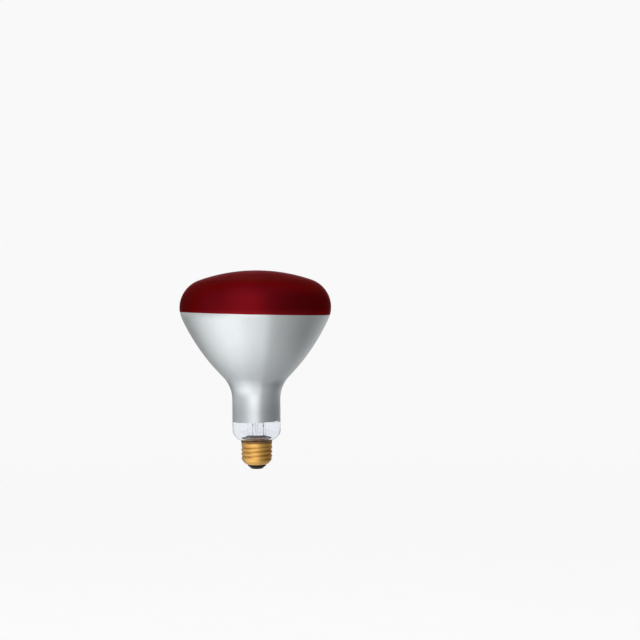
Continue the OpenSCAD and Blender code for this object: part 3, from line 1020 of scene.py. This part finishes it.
def coil_recipe():
    r = Recipe(
        "ring_of_coil", Turns="Float", Points="Int", Ring="Float", Coil="Float",
        Start="Float", Sweep="Float", Height="Float", Thickness="Float",
    )
    row = r.node("GeometryNodeMeshLine", None, {"Count": r.given["Points"]}).outputs[0]
    along = r.number(r.node("GeometryNodeInputIndex").outputs[0]) / r.size("Points")
    twist = along * r.size("Turns") * (2 * math.pi)
    round_ring = r.size("Start") + along * r.size("Sweep")
    reach = r.size("Ring") + r.size("Coil") * twist.cos()
    place = {"X": reach * round_ring.cos(), "Y": reach * round_ring.sin()}
    place["Z"] = r.size("Height") + r.size("Coil") * twist.sin()
    where = r.node("ShaderNodeCombineXYZ", None, place).outputs[0]
    moved = r.node("GeometryNodeSetPosition", None, {"Geometry": row, "Position": where}).outputs[0]
    line = r.node("GeometryNodeMeshToCurve", None, {"Mesh": moved}).outputs[0]
    small = {"Resolution": 6, "Radius": r.size("Thickness") * 0.5}
    section = r.node("GeometryNodeCurvePrimitiveCircle", {"mode": "RADIUS"}, small).outputs[0]
    tube = {"Curve": line, "Profile Curve": section, "Fill Caps": True}
    return r.finished(r.node("GeometryNodeCurveToMesh", None, tube).outputs[0])


filament = coil_recipe().grow(
    "coiled_filament", [(0, 0, 0), (1, 0, 0)], tungsten, sharp=60,
    Turns=float(COIL_TURNS), Points=COIL_TURNS * POINTS_A_TURN, Ring=ring_radius * MM,
    Coil=(coil_radius - 0.13) * MM, Start=right_end - math.radians(4), Sweep=math.radians(308),
    Height=ring_height * MM, Thickness=0.26 * MM,
)

# %% [markdown]
# ## Supports
#
# Five thin molybdenum wires stand in the glass button and hold the ring up, each with an eye round the
# coil. They are all the same, so one wire and one eye are made, and the nodes set five copies round the
# axis by turning them. Copies made by hand would each have to be changed when one is.

# %% Five supports
support_thickness = 0.45
eye_radius = coil_radius + 0.15 + support_thickness / 2
eye_points = [
    (ring_radius + eye_radius * math.sin(2 * math.pi * i / 24), 0, ring_height - eye_radius * math.cos(2 * math.pi * i / 24))
    for i in range(23)
]
support_line = [(1.5, 0, button_height), (5, 0, button_height), (ring_radius, 0, ring_height - 7)] + eye_points


def supports_recipe():
    r = Recipe("wires_round_a_button", Count="Int", First="Float", Step="Float", Thickness="Float")
    line = r.node("GeometryNodeMeshToCurve", None, {"Mesh": r.given["Geometry"]}).outputs[0]
    bends = {"Curve": line, "Count": 5, "Radius": 1.5 * MM, "Limit Radius": True}
    line = r.node("GeometryNodeFilletCurve", {"mode": "POLY"}, bends).outputs[0]
    small = {"Resolution": 8, "Radius": r.size("Thickness") * 0.5}
    section = r.node("GeometryNodeCurvePrimitiveCircle", {"mode": "RADIUS"}, small).outputs[0]
    tube = {"Curve": line, "Profile Curve": section, "Fill Caps": True}
    one = r.node("GeometryNodeCurveToMesh", None, tube).outputs[0]
    spots = r.node("GeometryNodePoints", None, {"Count": r.given["Count"]}).outputs[0]
    turn = r.size("First") + r.number(r.node("GeometryNodeInputIndex").outputs[0]) * r.size("Step")
    turned = r.node("ShaderNodeCombineXYZ", None, {"Z": turn}).outputs[0]
    angle = r.node("FunctionNodeEulerToRotation", None, {0: turned}).outputs[0]
    copies = {"Points": spots, "Instance": one, "Rotation": angle}
    return r.finished(r.node("GeometryNodeInstanceOnPoints", None, copies).outputs[0])


supports = supports_recipe().grow(
    "filament_supports", support_line, molybdenum,
    Count=5, First=right_end + math.radians(50), Step=math.radians(50), Thickness=support_thickness * MM,
)

# %% [markdown]
# ## Screw shell
#
# The shell starts as a plain brass cup, drawn from sheet, and its thread is rolled in afterwards. The
# mesh is made in the same order: the cup's outline is spun, then the nodes move each point in or out
# by a cosine of its height and its angle. Because both skins get the same push, the sheet keeps its
# thickness, as rolled brass does. The wave dies out at both ends of the thread.

# %% Brass shell
brass_thickness = 0.3
lip_height = low("screw_shell", Z)
thread_middle = (26.2 - THREAD_DEPTH) / 2
cup = through([(8.1, lip_height), (8.9, lip_height + 0.2), (10.5, 5.35), (11.9, 6.9), (12.5, THREAD_LOW)], 0.4)
cup += straight((thread_middle - 0.1, THREAD_LOW + 0.6), (thread_middle, THREAD_HIGH), 0.2)
cup += through([(thread_middle + 0.05, 20.7), (12.95, 21.2), (12.95, 22.7), (13.15, 23.2), (13.22, rim_height)], 0.25)
lining = [(r - brass_thickness, z) for r, z in cup]


def thread_recipe():
    r = Recipe("rolled_thread", Pitch="Float", Depth="Float", Low="Float", High="Float", Fade="Float")
    split = r.node("ShaderNodeSeparateXYZ", None, {0: r.node("GeometryNodeInputPosition").outputs[0]})
    x, y, z = [r.number(out) for out in split.outputs]
    turn = r.number(r.node("ShaderNodeMath", {"operation": "ARCTAN2"}, {0: y, 1: x}).outputs[0])
    rise = ((z - r.size("Low")) / r.size("Fade")).most(0.0)
    fall = ((r.size("High") - z) / r.size("Fade")).most(0.0)
    share = rise.maths("MINIMUM", rise, 1.0) * fall.maths("MINIMUM", fall, 1.0)
    wave = (z * (2 * math.pi) / r.size("Pitch") - turn).cos() * share * r.size("Depth") * 0.5
    push = r.node("ShaderNodeCombineXYZ", None, {"X": turn.cos() * wave, "Y": turn.sin() * wave}).outputs[0]
    moved = {"Geometry": r.given["Geometry"], "Offset": push}
    return r.finished(r.node("GeometryNodeSetPosition", None, moved).outputs[0])


blank = spin("brass_cup", cup[::-1] + lining, brass, columns=240)
shell = thread_recipe().grow(
    "screw_shell_rolled", None, brass, start=blank.data, Pitch=THREAD_PITCH * MM, Depth=THREAD_DEPTH * MM,
    Low=THREAD_LOW * MM, High=THREAD_HIGH * MM, Fade=THREAD_FADE * MM,
)
bpy.data.objects.remove(blank)

# %% [markdown]
# ## Insulator, contact, solder and cement
#
# Molten black glass is pressed into the bottom of the shell and keeps the contact apart from the brass.
# Its surface sags slightly as it cools. The contact is a flat eyelet with a drop of solder over the
# lead's end, and the solder is what touches the lampholder. Cement fills the slot between the glass and
# the brass. All are round, so they are spun, and all but the eyelet with a small irregularity of its own.

# %% Base pieces


def softened(corners, radius=0.25, closed=True):
    """The same outline with each corner cut by a small curve."""
    line = []
    for before, here, after in zip([corners[-1]] + corners, corners, corners[1:] + corners[:1]):
        if here[0] < 0.01:
            line.append(here)
            continue
        for other, ts in ((before, (1.0, 0.45)), (after, (0.45, 1.0))):
            step = min(radius, math.dist(here, other) / 2.5)
            for t in ts:
                pull = step * t / max(1e-9, math.dist(here, other))
                line.append((here[0] + (other[0] - here[0]) * pull, here[1] + (other[1] - here[1]) * pull))
    return line


poured_outline = [
    (1.1, 8.6), (11.2, 7.6), (11.2, 7.1), (9.9, 5.45), (8.5, 4.35), (7.75, 3.95),
    (7.75, 2.9), (5.7, 1.3), (5.0, 0.5), (1.1, 0.5),
]
insulator = spin(
    "poured_glass_insulator", softened(poured_outline, 0.3), insulator_glass, columns=128,
    shift=lambda turn, r, z: (0, 0.05 * wavy(turn, r, 6)) if 1.2 < r < 7 and 0.6 < z < 3 else (0, 0),
)
eyelet = spin(
    "eyelet_contact",
    [(1.1, 0.5), (4.2, 0.5), (4.22, 0.42), (4.1, 0.3), (3.9, 0.22), (3.7, 0.2), (1.1, 0.2)],
    eyelet_brass, columns=96,
)
drop = spin(
    "solder_drop",
    [(0, 1.8), (1.0, 1.8), (1.1, 1.7), (1.1, 0.22)]
    + [(2.62, 0.2), (2.5, 0.15), (2.2, 0.1), (1.9, 0.05), (1.6, 0.012), (1.2, 0.0), (0.6, 0.0), (0, 0.0)],
    solder, columns=72,
    shift=lambda turn, r, z: (0.25 * wavy(turn, 0, 9, 2.0), 0) if r > 1.7 else (0, 0),
)
cement_outline = [
    (seal_radius + 0.03, 23.1), (seal_radius + 0.08, 23.4), (11.98, 23.75), (12.38, 24.05), (12.75, 24.15),
    (13.05, 23.9), (13.05, 23.5), (12.8, 23.45), (12.6, 23.1), (12.6, 21.5), (12.27, 21.0), (seal_radius + 0.02, 21.0),
]


def squeezed_out(turn, r, z):
    """The bead on the rim is lumpy, and it's missing where the side lead is soldered."""
    if z < 23.12:
        return 0, 0
    away = abs(math.remainder(turn - side_turn, 2 * math.pi))
    gap = max(0, min(1, (0.24 - away) / 0.08))
    return 0.09 * wavy(turn, 0, 4, 9.0) * (r > 12.7), (23.12 - z) * gap + 0.03 * wavy(turn, r, 2) * (1 - gap)


cement_ring = spin("basing_cement_ring", softened(cement_outline, 0.12), cement, columns=192, shift=squeezed_out)


def solder_blob():
    """A drop of solder on the rim, over the end of the side lead."""
    outline = [(0, 0.85)] + [(1.7 * math.sin(a), 0.85 * math.cos(a)) for a in [math.pi * i / 18 for i in range(1, 18)]]
    outline += [(0, -0.85)]
    blob = spin(
        "side_solder_drop", outline, solder, columns=48,
        shift=lambda turn, r, z: (0.18 * r * wavy(turn, z, 12, 6.0) - 0.25 * r * abs(math.cos(turn)), 0.05 * wavy(turn, r, 3)),
    )
    place = post.normalized() * 13.55
    place.z = rim_height - 0.1
    blob.data.transform(Matrix.Translation(place * MM) @ Matrix.Rotation(side_turn, 4, "Z"))
    return blob


side_drop = solder_blob()
print("base pieces made")

# %% [markdown]
# ## Putting the pieces in the frame
#
# Each piece says which CAD nodes it stands for, which body it rides on and which finish of the record
# it takes. The lamp has no joints, so there's one body, the root.

# %% Pieces for nodes
stands_for = [
    (glass, "clear_glass", ["glass_bowl", "glass_shoulder", "glass_neck", "stem_flare", "stem_pinch",
                            "exhaust_tube", "support_rod"]),
    (face_coat, "red_coat", ["red_face_coat"]),
    (film, "mirror_film", ["reflector_film"]),
    (seal_left, "copper_clad_wire", ["seal_wire_left"]),
    (seal_right, "copper_clad_wire", ["seal_wire_right"]),
    (centre_upper, "nickel_wire", ["outer_lead_centre_upper"]),
    (fuse, "fuse_wire", ["lead_fuse"]),
    (centre_lower, "nickel_wire", ["outer_lead_centre_lower"]),
    (side_lead, "nickel_wire", ["outer_lead_side"]),
    (inner_left, "nickel_wire", ["inner_lead_left"]),
    (inner_right, "nickel_wire", ["inner_lead_right"]),
    (filament, "tungsten", ["filament_coil"]),
    (supports, "molybdenum_wire", [f"support_wire_{i}" for i in range(1, 6)]),
    (shell, "brass", ["screw_shell"]),
    (insulator, "black_glass", ["base_insulator"]),
    (eyelet, "contact_brass", ["centre_contact"]),
    (drop, "solder", ["centre_solder"]),
    (side_drop, "solder", ["side_solder"]),
    (cement_ring, "cement", ["base_cement"]),
]
for piece, slot_name, nodes in stands_for:
    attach(piece, "root")
    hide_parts(*nodes)
print(f"{len(stands_for)} pieces stand for {sum(len(nodes) for _, _, nodes in stands_for)} CAD nodes")

# %% [markdown]
# ## The studio
#
# Silver and glass have no look of their own: they show the room. So the room is designed for them. The
# backdrop and everything the eye sees directly is a plain pale grey-white. For mirror reflections, the
# world is a soft sweep from a bright left to a dim right, as a large window on one side gives. The
# sweep is drawn by the slope of a surface that would mirror it towards the front, which is the half-way
# direction between the ray and the front. That makes it easy to place: the number says where on a round
# body the light falls. Straight behind the lamp there is no half-way direction, so the sweep fades to
# one grey there.

# %% World
FRONT = (0.0, -1.0, 0.05)
PALE = 0.945
# Pairs of degrees to the side of the front, and the brightness there.
SWEEP_BELOW = [
    (-90, 0.3), (-72, 0.28), (-62, 0.38), (-50, 0.62), (-40, 0.8), (-31, 0.94), (-22, 1.0), (-15, 0.99), (-8, 0.88),
    (0, 0.79), (8, 0.7), (12, 0.5), (17, 0.4), (28, 0.31), (44, 0.21), (55, 0.24), (66, 0.33), (78, 0.43), (90, 0.5),
]
SWEEP_LEVEL = [
    (-90, 0.3), (-72, 0.42), (-54, 0.56), (-35, 0.66), (-24, 0.84), (-15, 1.08), (-8, 1.22), (0, 1.14), (5, 0.92),
    (11, 0.6), (18, 0.44), (28, 0.33), (44, 0.26), (58, 0.28), (68, 0.33), (80, 0.5), (90, 0.56),
]


def sweep(b, share, stops):
    """Brightness from side to side, as a ramp. A ramp holds no more than 1, so it's halved and doubled."""
    made = b.node("ShaderNodeValToRGB", None, {0: share})
    ramp = made.color_ramp
    ramp.interpolation = "CARDINAL"
    ramp.elements[0].position, ramp.elements[1].position = 0.0, 1.0
    for degrees, value in stops[1:-1]:
        ramp.elements.new(degrees / 180 + 0.5)
    for element, (degrees, value) in zip(ramp.elements, stops):
        element.color = (value / 2, value / 2, value / 2, 1)
    return b.number(made.outputs[0]) * 2


def studio_world():
    world = bpy.data.worlds.new("studio")
    bpy.context.scene.world = world
    world.use_nodes = True
    world.node_tree.nodes.clear()
    b = Bench(world.node_tree)
    ray = b.node("ShaderNodeTexCoord").outputs["Generated"]
    total = b.node("ShaderNodeVectorMath", {"operation": "ADD"}, {0: ray, 1: FRONT}).outputs[0]
    length = b.number(b.node("ShaderNodeVectorMath", {"operation": "LENGTH"}, {0: total}).outputs["Value"])
    half = b.node("ShaderNodeVectorMath", {"operation": "NORMALIZE"}, {0: total}).outputs[0]
    split = b.node("ShaderNodeSeparateXYZ", None, {"Vector": half})
    x, y, z = [b.number(out) for out in split.outputs]
    turn = b.number(b.node("ShaderNodeMath", {"operation": "ARCTAN2"}, {0: x, 1: 0 - y}).outputs[0])
    share = turn * (1 / math.pi) + 0.5
    tilt = (0 - z).rise(0.08, 0.34)
    bright = sweep(b, share, SWEEP_BELOW) * tilt * 1.15 + sweep(b, share, SWEEP_LEVEL) * (1 - tilt)
    down = (0 - z).rise(0.45, 0.72)
    up = z.rise(0.3, 0.8)
    level = bright * (1 - 0.62 * down) * (1 - 0.8 * up) + 0.33 * down + 0.55 * up
    behind = length.rise(0.4, 0.08)
    level = level * (1 - behind) + 0.42 * behind
    paths = b.node("ShaderNodeLightPath")
    mirrored = b.number(paths.outputs["Is Glossy Ray"]) * (1 - b.number(paths.outputs["Is Transmission Ray"]))
    strength = mirrored * level + (1 - mirrored) * PALE
    shade = b.node("ShaderNodeBackground", None, {"Color": (1, 1, 1, 1), "Strength": strength})
    b.node("ShaderNodeOutputWorld", None, {"Surface": shade.outputs[0]})


studio_world()
print("world: pale room with a left-to-right sweep in its reflections")

# %% Floor
FLOOR_HEIGHT = -0.35


def pale_floor():
    f = Finish("pale_floor_paint")
    x, y, z = f.across()
    away = (x * x + y * y).maths("SQRT", x * x + y * y)
    soft = f.grain(40, 3.0)
    paint = f.surface({
        "Base Color": f.blend(soft, (0.955, 0.955, 0.955, 1), (0.975, 0.975, 0.975, 1)),
        "Roughness": 0.9,
        "Specular IOR Level": 0.1,
    })
    gone = f.node("ShaderNodeBsdfTransparent").outputs[0]
    return f.done(f.node("ShaderNodeMixShader", None, {0: away.rise(700, 3200), 1: paint, 2: gone}).outputs[0])


floor_ring = [(3400 * math.cos(2 * math.pi * k / 96), 3400 * math.sin(2 * math.pi * k / 96), FLOOR_HEIGHT / MM) for k in range(96)]
floor = join_points("studio_floor", floor_ring, [list(range(96))], pale_floor())
floor.visible_glossy = False
floor.visible_shadow = False

# %% Lamps and camera


def area_lamp(name, place, target, size, watts, colour=(1, 1, 1)):
    data = bpy.data.lights.new(name, "AREA")
    data.shape = "DISK"
    data.size = size
    data.energy = watts
    data.color = colour
    lamp = bpy.data.objects.new(name, data)
    bpy.context.scene.collection.objects.link(lamp)
    aim = Vector(target) - Vector(place)
    lamp.matrix_world = Matrix.Translation(place) @ aim.to_track_quat("-Z", "Y").to_matrix().to_4x4()
    lamp.visible_glossy = False
    return lamp


middle = (0, 0, crown_height * MM / 2)
area_lamp("window_left", (-1.3, -1.5, 1.2), middle, 1.2, 9)
area_lamp("card_right", (1.4, -0.6, 0.5), middle, 0.8, 1.5)

CAMERA_PLACE = (0.0, -1.076, 0.150)
CAMERA_YAW, CAMERA_PITCH, CAMERA_ROLL = 2.88, 1.34, -0.45
camera_data = bpy.data.cameras.new("camera")
camera_data.lens = 72
camera_data.sensor_width = 36
camera = bpy.data.objects.new("camera", camera_data)
bpy.context.scene.collection.objects.link(camera)
turned = (
    Matrix.Rotation(math.radians(-CAMERA_YAW), 4, "Z")
    @ Matrix.Rotation(math.radians(90 - CAMERA_PITCH), 4, "X")
    @ Matrix.Rotation(math.radians(CAMERA_ROLL), 4, "Z")
)
camera.matrix_world = Matrix.Translation(CAMERA_PLACE) @ turned
bpy.context.scene.camera = camera
bpy.context.scene.view_settings.view_transform = "Standard"
bpy.context.scene.view_settings.look = "None"
print("camera and lamps set")
